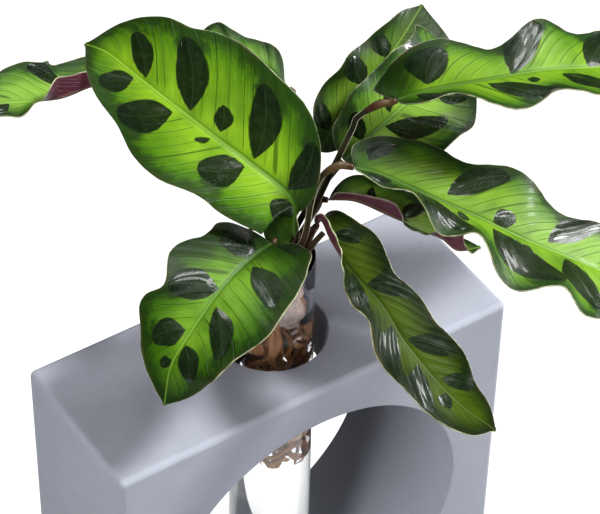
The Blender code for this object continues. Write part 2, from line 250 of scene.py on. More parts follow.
# camera, light and floor
view = dict(place=(-0.3619, -0.5509, 0.8382), turn=(-34.132, 45.641, 1.229), lens=164.04, sensor=36.0,
            near=0.01)
lamps = {
    "key light": dict(place=(0.94, -0.33, 1.32), size=(0.25, 0.25), power=30.0),
    "side light": dict(place=(1.10, 0.11, 1.21), size=(0.40, 0.30), power=7.0),
    "back light": dict(place=(0.22, 0.85, 1.05), size=(0.26, 0.20), power=2.0),
    "glint light": dict(place=(0.50, 0.24, 1.24), size=(0.34, 0.20), power=5.0, shineOnly=True),
    "left light": dict(place=(-1.02, -0.38, 0.84), size=(0.50, 0.50), power=7.5, fill=True),
    "low light": dict(place=(-1.15, -0.30, 0.30), size=(0.50, 0.50), power=5.0, fill=True),
    "front light": dict(place=(0.60, -0.95, 0.30), size=(0.50, 0.50), power=8.0, fill=True),
    "ceiling": dict(place=(0.0, 0.1, 1.7), size=(0.60, 0.60), power=1.5)}
lampAim = Vector((0.03, 0.0, 0.16))
studio = dict(skyColour=(0.97, 0.98, 1.0), skyStrength=1.0, floorSize=3.0, floorGlow=0.80,
              floorTone=(0.28, 0.28, 0.28), floorPale=(0.31, 0.31, 0.31))


def makeCamera():
    camera = bpy.data.objects.new("camera", bpy.data.cameras.new("camera"))
    camera.data.lens = view["lens"]
    camera.data.sensor_width = view["sensor"]
    camera.data.clip_start = view["near"]
    yaw, pitch, roll = (radians(a) for a in view["turn"])
    turn = Matrix.Rotation(yaw, 4, "Z") @ Matrix.Rotation(pitch, 4, "X") @ Matrix.Rotation(roll, 4, "Z")
    camera.matrix_world = Matrix.Translation(view["place"]) @ turn
    scene.collection.objects.link(camera)
    scene.camera = camera


def softbox(name, setup):
    light = bpy.data.lights.new(name, "AREA")
    light.shape = "RECTANGLE"
    light.size, light.size_y = setup["size"]
    light.energy = setup["power"]
    lamp = bpy.data.objects.new(name, light)
    lamp.visible_glossy = not setup.get("fill")             # fill light leaves no shine
    lamp.visible_diffuse = not setup.get("shineOnly")       # glint light leaves only that
    lamp.location = setup["place"]
    aim = lampAim - Vector(setup["place"])
    lamp.rotation_euler = aim.to_track_quat("-Z", "Y").to_euler()
    scene.collection.objects.link(lamp)


def makeStudio():
    world = bpy.data.worlds.new("studio")
    scene.world = world
    world.use_nodes = True
    sky = world.node_tree.nodes["Background"]
    sky.inputs["Color"].default_value = (*studio["skyColour"], 1.0)
    sky.inputs["Strength"].default_value = studio["skyStrength"]
    world.cycles_visibility.diffuse = False         # the backdrop is white, and the lamps light the plant
    world.cycles_visibility.glossy = False
    for name, setup in lamps.items():
        softbox(name, setup)
    scene.view_settings.view_transform = "Standard"
    finish = Finish("studio floor", Roughness=0.9, Emission_Strength=studio["floorGlow"])
    cloud = finish.noise(finish.objectPlace(), 6.0)
    tone = finish.blend(cloud, studio["floorTone"], studio["floorPale"])
    finish.paint(Base_Color=tone, Emission_Color=(1.0, 1.0, 1.0))
    bm = bmesh.new()
    bmesh.ops.create_grid(bm, x_segments=8, y_segments=8, size=studio["floorSize"] / 2)
    floor = addPiece("floor", bm, [finish.material], smooth=False)
    floor.visible_diffuse = False


makeCamera()
makeStudio()
print("camera, light and floor are in place")


# holder: a cast concrete block with a round window and a hole in its top
holder = dict(width=158.0, depth=62.0, height=155.0, edge=2.4, edgeSteps=6, window=60.5, hole=20.0,
              taper=0.12, rim=0.7, rimSteps=3, near=0.05, windowSides=160, holeSides=96,
              grey=(0.355, 0.376, 0.440), paleGrey=(0.405, 0.427, 0.495), poreGrey=(0.255, 0.273, 0.325),
              grainGrey=(0.58, 0.59, 0.63))
tubeAxis = Vector((2.0, 3.0, 0.0))


def concreteFinish():
    finish = Finish("cast concrete", Specular_IOR_Level=0.35)
    place = finish.objectPlace()
    cloud = finish.noise(place, 22.0, 4.0, 0.55)
    grain = finish.noise(place, 900.0, 3.0, 0.6)
    patch = finish.noise(place, 90.0, 3.0, 0.6)
    pores = (1 - finish.cells(place, 210.0).rise(0.05, 0.13)) * finish.noise(place, 60.0).rise(0.55, 0.68)
    colour = finish.layered(
        holder["grey"],
        (cloud.rise(0.3, 0.7), holder["paleGrey"]),
        (patch.rise(0.35, 0.75) * 0.18, holder["poreGrey"]),
        (grain.rise(0.4, 0.8) * 0.14, holder["grainGrey"]),
        (pores * 0.8, holder["poreGrey"]))
    height = cloud * 0.5 + grain * 0.06 + patch * 0.12 - pores * 0.35
    return finish.paint(Base_Color=colour, Roughness=0.72 + grain * 0.14 + patch * 0.06,
                        Normal=finish.bump(height, 0.0012, 0.35))


def cutterAt(name, radius, length, sides, matrix, taper=0.0):
    spread = taper * length / 2
    bm = bmesh.new()
    bmesh.ops.create_cone(bm, cap_ends=True, segments=sides, radius1=(radius - spread) * mm,
                          radius2=(radius + spread) * mm, depth=length * mm, matrix=matrix)
    return addPiece(name, bm, [])


def makeHolder():
    size = (holder["width"] * mm, holder["depth"] * mm, holder["height"] * mm)
    middle = Matrix.Translation(up * holder["height"] / 2 * mm)
    bm = bmesh.new()
    bmesh.ops.create_cube(bm, size=1.0, matrix=middle @ Matrix.Diagonal((*size, 1.0)))
    bmesh.ops.bevel(bm, geom=bm.edges, offset=holder["edge"] * mm, segments=holder["edgeSteps"],
                    profile=0.5, affect="EDGES", material=-1)
    block = addPiece("block", bm, [])
    lying = middle @ Matrix.Rotation(pi / 2, 4, "X")
    standing = Matrix.Translation((tubeAxis + up * holder["height"]) * mm)
    cutters = [cutterAt("window", holder["window"], holder["depth"] * 2, holder["windowSides"], lying),
               cutterAt("hole", holder["hole"], holder["height"] / 2, holder["holeSides"], standing,
                        holder["taper"])]
    for cutter in cutters:
        cut = block.modifiers.new(cutter.name, "BOOLEAN")
        cut.operation, cut.object, cut.solver = "DIFFERENCE", cutter, "EXACT"
    bpy.context.view_layer.update()
    shape = block.evaluated_get(bpy.context.evaluated_depsgraph_get()).to_mesh()
    bm = bmesh.new()
    bm.from_mesh(shape)
    for spare in (block, *cutters):
        bpy.data.objects.remove(spare)

    def onRim(vertex):                 # 1 on the window's rims, 2 on the hole's
        x, y, z = vertex.co / mm
        windowOff = hypot(x, z - holder["height"] / 2) - holder["window"]
        holeOff = hypot(x - tubeAxis.x, y - tubeAxis.y) - holder["hole"]
        if max(abs(windowOff), abs(abs(y) - holder["depth"] / 2)) < holder["near"]:
            return 1
        return 2 if max(abs(holeOff), abs(z - holder["height"])) < holder["near"] else 0

    rims = [e for e in bm.edges if onRim(e.verts[0]) and onRim(e.verts[0]) == onRim(e.verts[1])]
    bmesh.ops.bevel(bm, geom=rims, offset=holder["rim"] * mm, segments=holder["rimSteps"],
                    profile=0.5, affect="EDGES", material=-1)
    piece = addPiece("holder", bm, [concreteFinish()], "concrete_holder")
    piece.data.set_sharp_from_angle(angle=radians(40))
    piece.modifiers.new("even shading", "WEIGHTED_NORMAL").keep_sharp = True


makeHolder()
print("holder is made")


# glass tube and the water in it
tube = dict(radius=15.0, wall=1.5, floor=17.3, top=191.5, level=169.0, sides=112, lap=0.06, meniscus=0.8,
            endSteps=14, wallSteps=12, beadSteps=10)


def lathed(profile):                   # turns an (out, up) profile about the tube's axis
    bm = bmesh.new()
    points = [bm.verts.new((tubeAxis + Vector((out, 0, height))) * mm) for out, height in profile]
    edges = [bm.edges.new(pair) for pair in zip(points, points[1:])]
    bmesh.ops.spin(bm, geom=points + edges, cent=tubeAxis * mm, axis=up, angle=tau,
                   steps=tube["sides"], use_merge=True)
    bmesh.ops.remove_doubles(bm, verts=bm.verts, dist=1e-7)
    bmesh.ops.recalc_face_normals(bm, faces=bm.faces)
    return bm


def roundEnd(radius):
    bend, steps = tube["floor"] + tube["radius"], tube["endSteps"]
    angles = [pi / 2 * i / steps for i in range(steps + 1)]
    arc = [(radius * cos(a), bend - radius * sin(a)) for a in angles]
    return arc[:-1] + [(0.0, bend - radius)]


def straight(start, end):
    steps = tube["wallSteps"]
    return [tuple(Vector(start).lerp(Vector(end), i / steps)) for i in range(1, steps)]


def clearFinish(name, bending, scale):
    finish = Finish(name, Transmission_Weight=1.0, IOR=bending, Roughness=0.0)
    smear = finish.noise(finish.objectPlace(), scale, 3.0)
    return finish.paint(Base_Color=finish.blend(smear, (0.985, 0.99, 0.988), (0.995, 0.997, 0.996)))


def makeTube():
    inner = tube["radius"] - tube["wall"]
    inside = list(reversed(roundEnd(inner)))
    outside = roundEnd(tube["radius"])
    middle, lip = (inner + tube["radius"]) / 2, tube["wall"] / 2 + 0.05
    bead = [(middle - lip * cos(a), tube["top"] - lip + lip * sin(a))
            for a in (pi * i / tube["beadSteps"] for i in range(tube["beadSteps"] + 1))]
    profile = inside + straight(inside[-1], bead[0]) + bead + straight(bead[-1], outside[0]) + outside
    addPiece("tube", lathed(profile), [clearFinish("clear glass", 1.46, 45.0)], "glass_tube")


def makeWater():
    radius = tube["radius"] - tube["wall"] + tube["lap"]
    side = list(reversed(roundEnd(radius)))
    rim = (radius, tube["level"] + tube["meniscus"])
    surface = [(radius - 0.25, tube["level"] + 0.35), (radius - 0.7, tube["level"] + 0.1),
               (radius - 1.6, tube["level"]), (radius / 2, tube["level"]), (0.0, tube["level"])]
    profile = side + straight(side[-1], rim) + [rim] + surface
    addPiece("water_column", lathed(profile), [clearFinish("clear water", 1.33, 60.0)],
             "water")


makeTube()
makeWater()
print("tube and water are made")


# roots: the mat is (x, y, radius) at even steps down. A guide is a strand of its own, given as
# (thickness, tint, points). Ranges are (least, most) of what is drawn for each strand.
roots = dict(
    top=171.0, bottom=88.0, seed=7, sides=9,
    mat=[(6.6, 1.6, 5.0), (5.0, 2.2, 9.0), (3.0, 2.8, 11.6), (2.6, 2.9, 11.9), (2.8, 2.8, 11.4),
         (3.4, 2.4, 10.2), (4.0, 2.0, 9.2), (4.4, 1.7, 8.8), (4.8, 1.4, 8.4), (5.0, 1.2, 5.5)],
    strands=30, strandSteps=44, strandThick=(0.8, 1.7), strandDepth=(0.35, 1.0), loops=9,
    coils=16, coilThick=(0.9, 1.5), coilDepth=(0.62, 0.88), barSteps=30,
    hairs=40, hairSides=5, hairThick=0.24, hairTaper=0.012, hairSteps=10, hairTint=0.75,
    tubers=9, tuberLong=(2.2, 3.4), tuberWide=(1.6, 2.4), margin=0.3,
    guides=[(1.7, 0.62, (9.6, -3.0, 172), (10.2, -4.2, 166), (9.4, -5.0, 158), (7.0, -6.6, 149)),
            (1.3, 0.50, (11.5, -1.0, 170), (12.4, -1.6, 160), (11.6, -3.5, 148)),
            (1.2, 0.35, (4.0, -7.6, 160), (8.0, -7.4, 155), (11.6, -4.0, 152), (13.0, 0.5, 146)),
            (1.5, 0.45, (13.0, 2.0, 158), (13.4, 3.0, 148), (12.6, 1.0, 136), (11.0, -3.0, 126))])


def matPlace(t, angle, share):         # t runs from the top of the matted roots to their end
    place = min(max(t, 0.0), 1.0) * (len(roots["mat"]) - 1)
    x, y, radius = (curveThrough([row[i] for row in roots["mat"]], place) for i in range(3))
    z = roots["top"] + (roots["bottom"] - roots["top"]) * t
    return Vector((x + radius * share * cos(angle), y + radius * share * sin(angle), z))


def keepInside(point, margin=0.6):     # keeps a point within the tube's bore
    flat = Vector((point.x - tubeAxis.x, point.y - tubeAxis.y, 0))
    most = tube["radius"] - tube["wall"] - margin - roots["margin"]
    if flat.length > most:
        flat = flat.normalized() * most
    return Vector((tubeAxis.x + flat.x, tubeAxis.y + flat.y, point.z))


def rootBar(points, radii, tint, sides, dice):
    spine = evenPoints(points, len(radii) - 1)
    rings, phase = [], dice.uniform(0, 6)
    for i, centre in enumerate(spine):
        along = (spine[min(i + 1, len(spine) - 1)] - spine[max(i - 1, 0)]).normalized()
        first = along.cross(Vector((0.31, 0.95, 0.05))).normalized()
        second = along.cross(first)
        swell = 1 + 0.13 * sin(i * 1.3 + phase) + 0.08 * sin(i * 2.9 + 2 * phase)
        turns = [tau * k / sides for k in range(sides)]
        rings.append([centre + (first * cos(a) + second * sin(a)) * radii[i] * swell for a in turns])
    return rolledGrid(rings, dict(tint=[[tint] * sides] * len(rings)))


def addBar(whole, dice, points, thick, taper, steps, tint):
    radii = [thick * (1 - taper * i / steps) for i in range(steps + 1)]
    joinInto(whole, rootBar(points, radii, tint, roots["sides"], dice))


def rootFinish():
    finish = Finish("root skin", Specular_IOR_Level=0.45)
    place, tint = finish.objectPlace(), finish.number("tint")
    mottle = finish.noise(place, 420.0, 4.0, 0.6)
    speck = finish.noise(place, 1600.0, 2.0)
    colour = finish.node("ShaderNodeValToRGB", dict(stops=[
        (0.0, (0.016, 0.006, 0.003)), (0.25, (0.08, 0.025, 0.007)), (0.5, (0.26, 0.085, 0.018)),
        (0.75, (0.50, 0.22, 0.065)), (1.0, (0.64, 0.42, 0.24))]),
        {0: tint + (mottle - 0.5) * 0.55})
    colour = finish.blend(speck.rise(0.55, 0.8) * 0.5, colour, (0.02, 0.010, 0.006))
    return finish.paint(Base_Color=colour, Roughness=0.22 + mottle * 0.3,
                        Normal=finish.bump(mottle + speck * 0.4, 0.0005, 0.5))


def addStrand(whole, dice, loop):
    angle, share = dice.uniform(0, tau), sqrt(dice.uniform(0.05, 0.86))
    turns, depth = dice.uniform(-0.55, 0.8), dice.uniform(*roots["strandDepth"])
    points = []
    for i in range(12):
        t = -0.01 + depth * i / 11
        sway = angle + tau * turns * t + dice.uniform(-0.35, 0.35)
        spread = rise(-0.05, 0.25, t)                      # narrow at the rhizome
        points.append(matPlace(t, sway, share * spread + 0.35 * (1 - spread)))
    if loop:                                               # it turns back up at its end
        end = points[-1]
        aside = Vector((cos(angle), sin(angle), 0)) * dice.uniform(1.5, 3.0)
        points += [end - aside + up * 1.5, end - aside * 1.6 + up * 5, end - aside + up * 9]
    thick = dice.uniform(*roots["strandThick"])
    addBar(whole, dice, points, thick, 0.55, roots["strandSteps"], dice.uniform(0.15, 0.85))


def addCoil(whole, dice):              # winds round the foot of the mat
    start, sweep = dice.uniform(0, 6.3), dice.uniform(2.5, 5.5)
    t, wide = dice.uniform(*roots["coilDepth"]), dice.uniform(0.5, 0.95)
    points = [matPlace(t + 0.05 * sin(i * 1.1 + start) + 0.01 * i, start + sweep * i / 9,
                       wide + 0.1 * sin(i * 1.7)) for i in range(10)]
    thick = dice.uniform(*roots["coilThick"])
    addBar(whole, dice, points, thick, 0.35, roots["barSteps"], dice.uniform(0.45, 1.0))


def addHair(whole, dice):
    t, angle = dice.uniform(0.05, 0.9), dice.uniform(0, tau)
    start = matPlace(t, angle, 0.6)
    aim = Vector((cos(angle), sin(angle), dice.uniform(-1.6, 0.2)))
    bend = Vector((dice.uniform(-2, 2), dice.uniform(-2, 2), -1.5))
    reach = dice.uniform(2.0, 4.0)
    points = [start, start + aim * reach * 0.5 + bend * 0.3, start + aim * reach * 0.6 + bend * 1.4]
    radii = [roots["hairThick"] - roots["hairTaper"] * i for i in range(roots["hairSteps"] + 1)]
    joinInto(whole, rootBar([keepInside(p) for p in points], radii, roots["hairTint"],
                            roots["hairSides"], dice))


def addTuber(whole, dice, tint):
    t, angle = dice.uniform(0.05, 0.4), dice.uniform(-2.9, -1.2)
    ball = bmesh.new()
    layer = ball.verts.layers.float.new("tint")
    long, wide = dice.uniform(*roots["tuberLong"]), dice.uniform(*roots["tuberWide"])
    bmesh.ops.create_icosphere(ball, subdivisions=3, radius=1.0)
    spin = Matrix.Rotation(dice.uniform(0, 3), 4, "X") @ Matrix.Rotation(dice.uniform(0, 3), 4, "Y")
    stretch = Matrix.Diagonal((wide * mm, wide * mm, long * mm, 1.0))
    middle = keepInside(matPlace(t, angle, 0.85), long)
    bmesh.ops.transform(ball, matrix=Matrix.Translation(middle * mm) @ spin @ stretch, verts=ball.verts)
    for vertex in ball.verts:
        vertex[layer] = tint
    joinInto(whole, ball)


def makeRoots():
    dice = random.Random(roots["seed"])
    whole = bmesh.new()
    for strand in range(roots["strands"]):
        addStrand(whole, dice, strand < roots["loops"])
    for coil in range(roots["coils"]):
        addCoil(whole, dice)
    for hair in range(roots["hairs"]):
        addHair(whole, dice)
    for thick, tint, *points in roots["guides"]:
        addBar(whole, dice, points, thick, 0.3, roots["barSteps"], tint)
    for tuber in range(roots["tubers"]):
        addTuber(whole, dice, 0.98 - 0.12 * (tuber % 3))
    addPiece("roots", whole, [rootFinish()], "root_ball")


# rhizome: a lumpy ringed base that fills its place in the frame, and a pale nodule in water
stock = dict(nodule=(5.2, -4.6, 166.0), noduleSize=(4.4, 4.4, 8.2), noduleLean=0.25, sides=40, rows=15,
             flesh=(0.52, 0.34, 0.29), paleFlesh=(0.72, 0.60, 0.54), skin=(0.20, 0.085, 0.035))


def fleshFinish():
    finish = Finish("rhizome skin", Specular_IOR_Level=0.5)
    place = finish.objectPlace()
    bands, mottle = finish.noise(place, 700.0, 3.0), finish.noise(place, 190.0, 4.0, 0.6)
    colour = finish.layered(stock["flesh"], (mottle.rise(0.35, 0.65), stock["paleFlesh"]),
                            (bands.rise(0.52, 0.75) * mottle.rise(0.3, 0.6) * 0.7, stock["skin"]))
    return finish.paint(Base_Color=colour, Roughness=0.40 + mottle * 0.2,
                        Normal=finish.bump(mottle, 0.0008, 0.6))


def makeRhizome():
    low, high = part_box("rhizome")
    middle, half = (low + high) / 2 / mm, (high - low) / 2 / mm
    rings = []
    for i in range(stock["rows"]):
        t = i / (stock["rows"] - 1)
        height = middle.z + half.z * (2 * t - 1)
        radius = half.x - 1.6 + 1.5 * rise(0, 0.8, t)
        radius *= 1 - 0.25 * rise(0.85, 1.0, t) - 0.25 * (1 - rise(0.0, 0.15, t))
        ring = []
        for k in range(stock["sides"]):
            a = tau * k / stock["sides"]
            lump = 1 + 0.06 * sin(5 * a + 3 * t) + 0.03 * sin(9 * a - 8 * t)
            reach = radius * (lump + 0.025 * sin(t * 40))
            ring.append(Vector((middle.x + reach * cos(a), middle.y + reach * sin(a), height)))
        rings.append(ring)
    whole = rolledGrid(rings)
    ball = bmesh.new()
    bmesh.ops.create_icosphere(ball, subdivisions=4, radius=1.0)
    shape = Matrix.Translation(Vector(stock["nodule"]) * mm) @ Matrix.Rotation(stock["noduleLean"], 4, "Y")
    bmesh.ops.transform(ball, matrix=shape @ Matrix.Diagonal((*(r * mm for r in stock["noduleSize"]), 1.0)),
                        verts=ball.verts)
    joinInto(whole, ball)
    addPiece("rhizome_stock", whole, [fleshFinish()], "rhizome")


makeRoots()
makeRhizome()
print("roots and rhizome are made")


# leaves: slot is a petiole's place in the bundle (column, row). A midrib runs from the blade's base
# to its tip, and the half widths, the roll and the folds are listed at even steps along it. Waves
# are (height, how many, phase). A spot runs from (along, across) to (along, across) and is so many
# millimetres wide; along is 0 to 1, across -1 left to 1 right. Each darker patch is (along, across,
# reach, strength), painted shade partly over the leaf's own deeper green. What a leaf doesn't list
# is as in plainLeaf.
plainLeaf = dict(petiole=[], shine=0.204, wet=1.0, roll=(0, 0, 0), foldLeft=(15, 10, 5),
                 foldRight=(15, 10, 5), lobes=(0, 0))
leaves = {}
leaves["left_large"] = dict(
    slot=(-1, -1), look="bright", cream=0.35,
    midrib=[(10, 2, 196), (11, 5, 211), (2, 16, 223), (-6, 27, 231), (-17, 51, 241), (-21, 69, 243),
            (-23, 82, 239)],
    left=(14, 18, 20, 20, 23, 22, 17, 14, 9),
    right=(2.5, 3, 12, 20, 24.5, 26.5, 27.5, 28.5, 29.5, 30, 30, 29, 27, 24, 22.8, 21, 17.5, 13, 8),
    roll=(-40, 15, 34, 37, 38, 37.4, 36, 34.6, 34, 31.8, 27, 22.2, 20), foldLeft=(5, 6, 4, 0),
    foldRight=(40, 15, 6, 4),
    waveLeft=(1.6, 2.6, 0.1), waveRight=(1.3, 2.2, 0.5), border=(5.5, 7), lobes=(8, 0),
    spots=[(.07, -.08, .19, -.42, 8.5), (.32, -.12, .43, -.60, 11.3), (.45, -.07, .49, -.22, 2),
           (.59, -.10, .72, -.85, 11.8), (.75, -.08, .83, -.73, 8.2), (.17, .02, .21, .88, 7.5),
           (.31, .05, .42, .82, 10.3), (.44, .08, .48, .33, 6.8), (.55, .05, .70, .84, 11.3),
           (.72, .05, .85, .62, 7.7)],
    dusk=[(.10, .75, 13, .85), (.22, .95, 10, .7), (.04, -.4, 8, .5), (.97, 0, 8, .6)])
leaves["left_low"] = dict(
    slot=(-1.5, 0), look="deep", cream=0.8, shine=0.12, wet=0.7,
    midrib=[(2, 3, 196), (-8, -2, 200), (-26, -10, 201), (-45, -19, 196), (-54, -23, 190), (-59, -27, 179)],
    left=(13, 18, 20, 22, 23, 24, 24.5, 25, 25.5, 26, 26, 24.5, 22, 19.5, 18.3, 17, 14.5, 11.5, 7),
    right=(11.5, 15, 17, 16.8, 17.5, 20, 21.5, 21.5, 19.5, 17, 16.3, 19.5, 20, 18, 15.5, 12.8, 9, 5.5, 3),
    roll=(0, 5, 0, -5),
    waveLeft=(1, 2, 0.3), waveRight=(1.2, 2.4, 0), border=(6.5, 5.5), lobes=(4, 1),
    spots=[(.13, .02, .18, .78, 14), (.42, .03, .53, .92, 11.9), (.66, .10, .76, .68, 10.3),
           (.80, .07, .84, .35, 3.9), (.23, -.13, .41, -.80, 9.9), (.51, -.10, .72, -.77, 8.4),
           (.72, -.05, .86, -.63, 7.7), (.02, -.30, .10, -.72, 5.5)],
    dusk=[(.05, -.7, 13, .85), (.08, .6, 18, 1), (.28, .95, 13, .9), (.48, 1, 10, .8), (.22, -.95, 12, .7),
          (.97, 0, 7, .5)])
# front_narrow's very dark greens are painted shade over its own olive tone
leaves["front_narrow"] = dict(
    slot=(1, -1), look="olive", cream=0.8, shine=0.06, wet=0.15,
    petiole=[(12.5, -1.7, 192.3), (15.5, 0, 196)],
    midrib=[(19, 1, 198), (18.5, -2.5, 202.5), (14.3, -14.5, 205), (13, -28, 203.5), (14, -45, 201),
            (14, -60, 195), (20, -78, 183), (31, -88, 170)],
    left=(6.5, 9.5, 12, 14, 14.5, 13.5, 12, 10.5, 12, 13, 13, 13, 13.5, 14, 14, 13, 12, 10.5, 7.5),
    right=(4.5, 4.5, 8, 10, 8, 12, 11, 12, 9),
    roll=(-10, -5, -10, -15), foldLeft=(10, 5, 0, 0, 0),
    foldRight=(60, 100, 106, 102, 82, 58, 30, 14, *[10] * 9),
    waveLeft=(1.3, 3, 0.2), waveRight=(1.5, 3.2, 0.6), border=(3.2, 3.2),
    spots=[(.14, -.15, .22, -.60, 6.7), (.37, -.08, .47, -.90, 8.4), (.59, -.10, .71, -.72, 7.1),
           (.75, -.12, .87, -.83, 6.4), (.31, .15, .46, .70, 5.7), (.53, .10, .67, .92, 7),
           (.67, .13, .79, .87, 7.5), (.79, .05, .82, .43, 5.3)],
    dusk=[(.05, 0, 9, .6), (.99, 0, 8, .5), (.30, -.9, 7, .5)])
leaves["right_low"] = dict(
    slot=(0, -1), look="ripe", cream=0.85,
    petiole=[(9.3, -1.6, 191.9), (13, -1, 199), (17, 2, 209), (22, 4, 216), (28, 3, 219)],
    midrib=[(33, 0, 218), (39, -8, 218), (47, -24, 217), (57, -39, 214), (67, -54, 210), (84, -72, 202),
            (104, -88, 187)],
    left=(13, 16.5, 19, 19.5, 18.3, 18, 20, 22, 21.8, 20.5, 18.7, 17.5, 18, 19, 18, 16, 13.5, 10, 6),
    right=(4, 5, 5, 5.5, 9.5, 14.4, 13.5, 12, 16, 22.5, 25, 22.6, 21, 25.5, 22.5, 19, 15.5, 11.5, 7),
    waveLeft=(2.2, 2.3, 0.35), waveRight=(3.4, 4.5, 0.35), border=(3.4, 3.6), lobes=(6, 0),
    spots=[(.04, -.33, .09, -.82, 4.7), (.27, -.17, .40, -.85, 9.7), (.42, -.03, .47, -.28, 7.3),
           (.58, -.13, .72, -1, 9.6), (.03, .12, .12, .40, 3.9), (.19, .05, .39, .75, 7.7),
           (.32, .10, .36, .33, 2.5), (.43, .20, .65, .73, 13), (.52, .13, .55, .22, 3.3),
           (.64, .07, .76, .82, 11.3), (.78, -.10, .89, -.70, 7.5), (.83, .10, .92, .62, 6.5)],
    dusk=[(.07, -.6, 11, .75), (.20, -.85, 11, .6), (.34, -.98, 8, .5), (.97, 0, 8, .5)])
leaves["right_high"] = dict(
    slot=(0.5, 0), look="ripe", cream=0.55, shine=0.132, wet=0.6,
    petiole=[(12.1, 0.9, 191.8), (15.4, 3, 196.5), (27, 8, 208), (39, 11, 224), (41, 11, 228.5),
             (48, 9, 232.5)],
    midrib=[(54, 6, 234), (62, 0, 239), (80, -10, 243), (100, -17, 243), (121, -23, 239), (146, -25, 232)],
    left=(12, 15.5, 18.5, 20, 18.5, 16, 13.5, 13.5, 15.5, 19, 21.5, 21, 19, 18, 17.5, 17, 14, 10, 6),
    right=(5.5, 7, 7, 8, 12.5, 17.5, 20, 18.5, 15.5, 13.5, 17, 21, 21, 18, 16, 14.5, 12, 9, 5),
    waveLeft=(2.4, 2.6, -0.02), waveRight=(2.4, 2.8, 0.6), border=(3.4, 3.4), lobes=(13, 0),
    spots=[(.11, -.13, .19, -.80, 10.9), (.39, -.02, .54, -.93, 11.6), (.66, -.02, .84, -1, 11.9),
           (.07, .18, .18, 1, 4.5), (.30, .17, .51, .95, 8.4), (.43, .22, .47, .37, 3.2),
           (.55, .20, .70, .78, 9.5), (.85, -.05, .93, -.62, 6.5), (.76, .10, .88, .74, 7.5)],
    dusk=[(.04, -.8, 10, .8), (.12, -1, 9, .7), (.97, 0, 7, .5)])
leaves["back_upright"] = dict(
    slot=(0, 1), look="shade", cream=0.6, shine=0.12,
    petiole=[(10.7, 7.4, 193), (19, 12, 198.5), (28, 19, 201)],
    midrib=[(37, 27, 203), (51, 32, 213), (74, 38, 223), (93, 47, 230)],
    left=(6, 10, 11, 10, 11, 10, 9, 7, 5),
    right=(8, 11, 13, 14, 15, 16, 17, 18, 15),
    roll=(-20, -25, -25),
    waveLeft=(1.3, 2.6, 0.1), waveRight=(1.4, 2.4, 0.6), border=(2.6, 3.4),
    spots=[(.12, -.05, .21, -.80, 6.4), (.42, -.05, .50, -.85, 8.6), (.62, -.05, .70, -.80, 7.2),
           (.20, .10, .32, .75, 8), (.46, .10, .58, .75, 8)],
    dusk=[(.85, .5, 15, .9), (.05, 0, 8, .7), (.98, 0, 7, .6)])
leaves["back_wide"] = dict(
    slot=(0.5, 2), look="fresh", cream=0.9, petiole=[(13.1, 6.6, 191.5), (20, 8.8, 199), (31, 14, 202.5)],
    midrib=[(39, 15, 207), (48, 16, 211), (66, 17, 219), (90, 21, 228)],
    left=(8, 11, 12, 13, 14, 15, 15.3, 15.5, 15.8, *[16] * 5, 15.5, 15, 15.2, 15.6, 16),
    right=(14, 18, 20, 22, 22, 22, 22.5, 19, 13),
    roll=(-20, -25, -25),
    waveLeft=(1.3, 2.6, 0.4), waveRight=(1.5, 2.2, 0), border=(3.6, 4),
    spots=[(.17, -.02, .25, -.68, 6), (.41, -.08, .52, -.50, 3.5), (.84, -.60, .80, -1, 4.5),
           (.33, .05, .62, .67, 8.2), (.12, .20, .24, .85, 6), (.70, .15, .82, .75, 6.5)],
    dusk=[(.55, -.8, 10, .6), (.05, .2, 7, .5), (.8, .8, 9, .5)])
leaves["right_under"] = dict(
    slot=(1, 1), look="fresh", cream=0.8, petiole=[(13.3, 3.7, 191.5), (18.3, 5.5, 196), (24, 9, 197.5)],
    midrib=[(29.5, 9.5, 197.5), (35.8, 3.1, 199), (42.6, -5.3, 196.5), (52.8, -15, 190.5),
            (56.6, -20, 189), (59.5, -25.5, 186.5), (67.3, -28, 186)],
    left=(9, 11, 12, 12, 12, 11, 10, 8, 6),
    right=(3, 3.2, 3.2, 3.4, 3.6, 4, 4.5, 4.5, 3, 1.5, 1.5, 1.5, 2, 3.5, 6.5, 7.5, 7, 3, 2),
    foldRight=(60, 100, *[105] * 5, 90, 20, 5, 5, 60, 100, 105, 90, 10, 0),
    waveLeft=(1, 2.4, 0), waveRight=(1, 2.4, 0.5), border=(2.4, 2.4),
    spots=[(.03, -.80, .06, .80, 3.6), (.22, -.70, .28, .13, 3.4), (.42, .05, .52, .80, 5.5),
           (.46, -.10, .58, -.80, 5.5), (.70, -.08, .80, -.7, 5), (.68, .08, .80, .75, 5)],
    dusk=[(.98, 0, 7, .5)])
leaves["far_left"] = dict(
    slot=(-1, 1), look="fresh", cream=0.8, petiole=[(7, 8, 192), (5, 14, 198)],
    midrib=[(4, 22, 202), (-1, 52, 211), (-9, 78, 215), (-17, 87, 214), (-31, 89, 213), (-48, 98, 212),
            (-64, 104, 211)],
    left=(8, 10, 10, 9, 8.5, 8, 9, 9, 6),
    right=(5, 8, 10, 12, 13, 14, 14.5, 15, 15, 14.5, 13.5, 13.5, 15, 17.5, 16.5, 17.5, 15.5, 9, 5),
    foldLeft=(20, 20, 30, 30, 30, 40, 50, 60, 60, 75, 98, 104, 40, 0, 0, 0, 0), foldRight=(10, 10, 10),
    waveLeft=(1.2, 2.4, 0.2), waveRight=(0.9, 4.5, 0.8), border=(3.2, 4.2),
    spots=[(.66, .30, .79, .90, 8), (.84, -.08, .90, -.70, 6.6), (.14, .08, .24, .8, 7.5),
           (.38, .08, .50, .8, 8), (.20, -.08, .30, -.8, 6.5), (.45, -.08, .56, -.8, 7)],
    dusk=[(.60, .8, 11, .6), (.05, 0, 8, .5), (.98, 0, 6, .5)])
